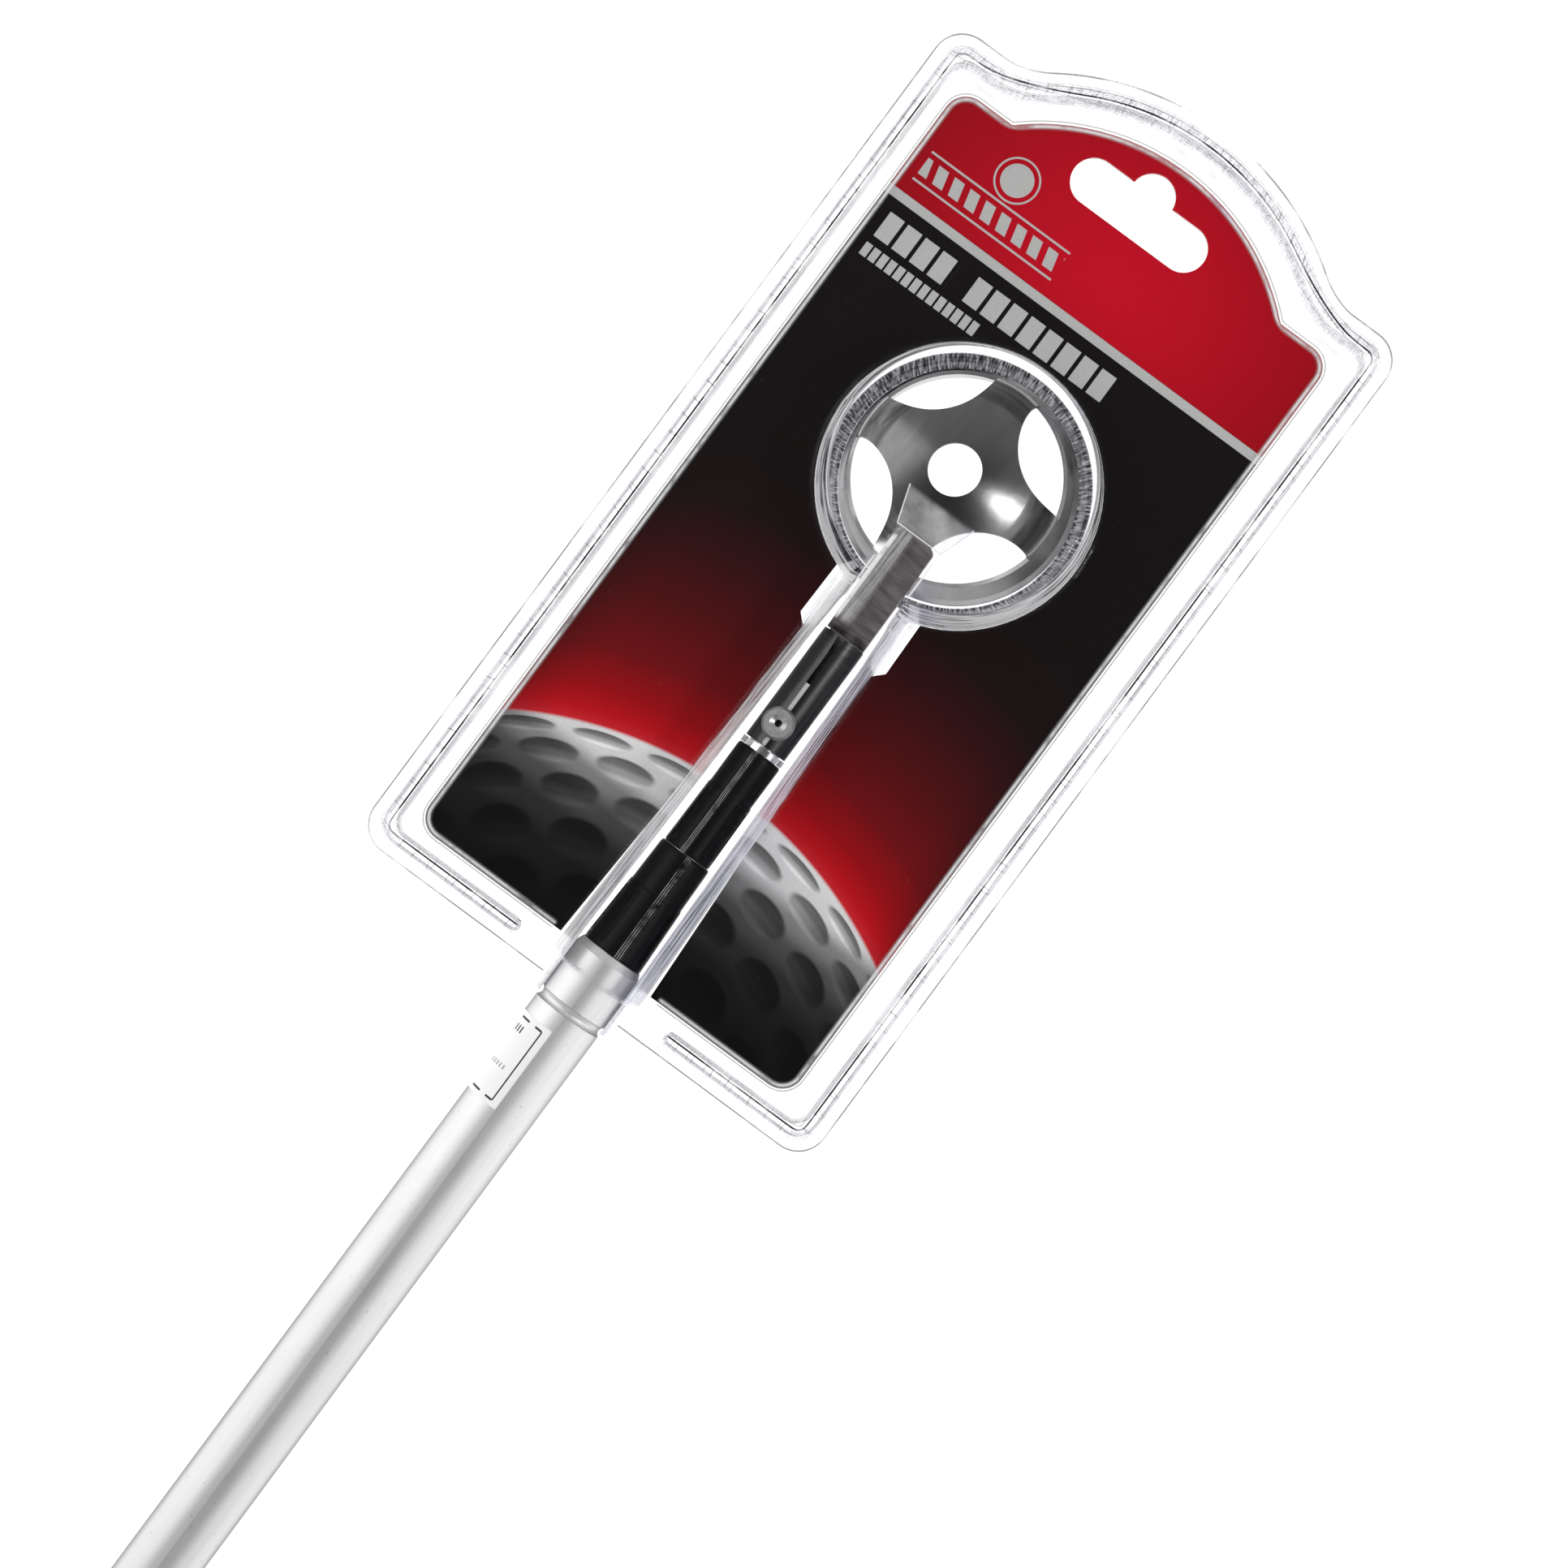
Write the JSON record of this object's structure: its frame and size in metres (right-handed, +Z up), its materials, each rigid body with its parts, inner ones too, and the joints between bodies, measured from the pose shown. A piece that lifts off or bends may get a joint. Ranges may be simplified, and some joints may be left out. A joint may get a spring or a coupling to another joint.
{
  "type": "golf ball retriever",
  "caption": "Telescopic golf ball retriever with a windowed steel ball cup on a pull-out aluminium pole with a rubber grip, its head in a clear two-part pack with a printed card.",
  "frame": {"origin": "middle of the whole object's footprint, on the surface it lies on", "axes": "+Y along the pole towards the ball cup, +Z up out of the pack's front, +X across the pack"},
  "size_m": [0.1122, 0.9168, 0.028],
  "materials": {
    "satin_aluminium": "satin anodised",
    "inner_aluminium": "drawn tube",
    "bush_plastic": "moulded nylon",
    "grip_rubber": "textured rubber",
    "label_paper": null,
    "friction_rubber": "plain rubber",
    "ferrule_plastic": "glossy black",
    "bright_ring": "polished",
    "dark_sleeve": "blackened rolled sheet",
    "rivet_metal": "plain steel",
    "strap_steel": "dark brushed",
    "cup_steel": "polished stainless",
    "front_sheet": "clear vacuum-formed plastic sheet",
    "back_sheet": "clear vacuum-formed plastic sheet",
    "printed_card": "glossy printed card"
  },
  "bodies": {
    "back_tray": {"back_blister": "back_sheet", "card": "printed_card"},
    "front_cover": {"front_blister": "front_sheet"},
    "head_section": {"inner_tube": "inner_aluminium", "inner_slider": "bush_plastic", "inner_slider_ring": "friction_rubber", "neck_ring": "bright_ring", "neck_plug": "bush_plastic", "neck_sleeve": "dark_sleeve", "neck_rivet": "rivet_metal", "strap": "strap_steel", "cup": "cup_steel"},
    "third_section": {"third_tube": "inner_aluminium", "third_slider": "bush_plastic", "third_slider_ring": "friction_rubber", "third_ferrule": "ferrule_plastic", "third_bush": "bush_plastic"},
    "second_section": {"second_tube": "inner_aluminium", "second_slider": "bush_plastic", "second_ferrule": "ferrule_plastic", "second_bush": "bush_plastic"},
    "twist_ring": {"second_slider_ring": "friction_rubber"},
    "handle": {"outer_tube": "satin_aluminium", "outer_bush": "bush_plastic", "end_plug": "bush_plastic", "grip": "grip_rubber", "butt_cap": "grip_rubber", "tube_label": "label_paper"}
  },
  "joints": [
    {"name": "tool_lift", "type": "slide", "parent": "back_tray", "child": "head_section", "axis": [0, 0, 1], "range_m": [0, 0.06]},
    {"name": "front_lift", "type": "slide", "parent": "head_section", "child": "front_cover", "axis": [0, 0, 1], "range_m": [0, 0.06]},
    {"name": "head_extend", "type": "slide", "parent": "head_section", "child": "third_section", "axis": [0, -1, 0], "range_m": [0, 0.65]},
    {"name": "third_extend", "type": "slide", "parent": "third_section", "child": "second_section", "axis": [0, -1, 0], "range_m": [0, 0.65]},
    {"name": "pole_twist", "type": "hinge", "parent": "second_section", "child": "twist_ring", "pos_m": [0, 0, 0.014], "axis": [0, 1, 0], "continuous": true},
    {"name": "second_extend", "type": "slide", "parent": "twist_ring", "child": "handle", "axis": [0, -1, 0], "range_m": [0, 0.65]}
  ]
}
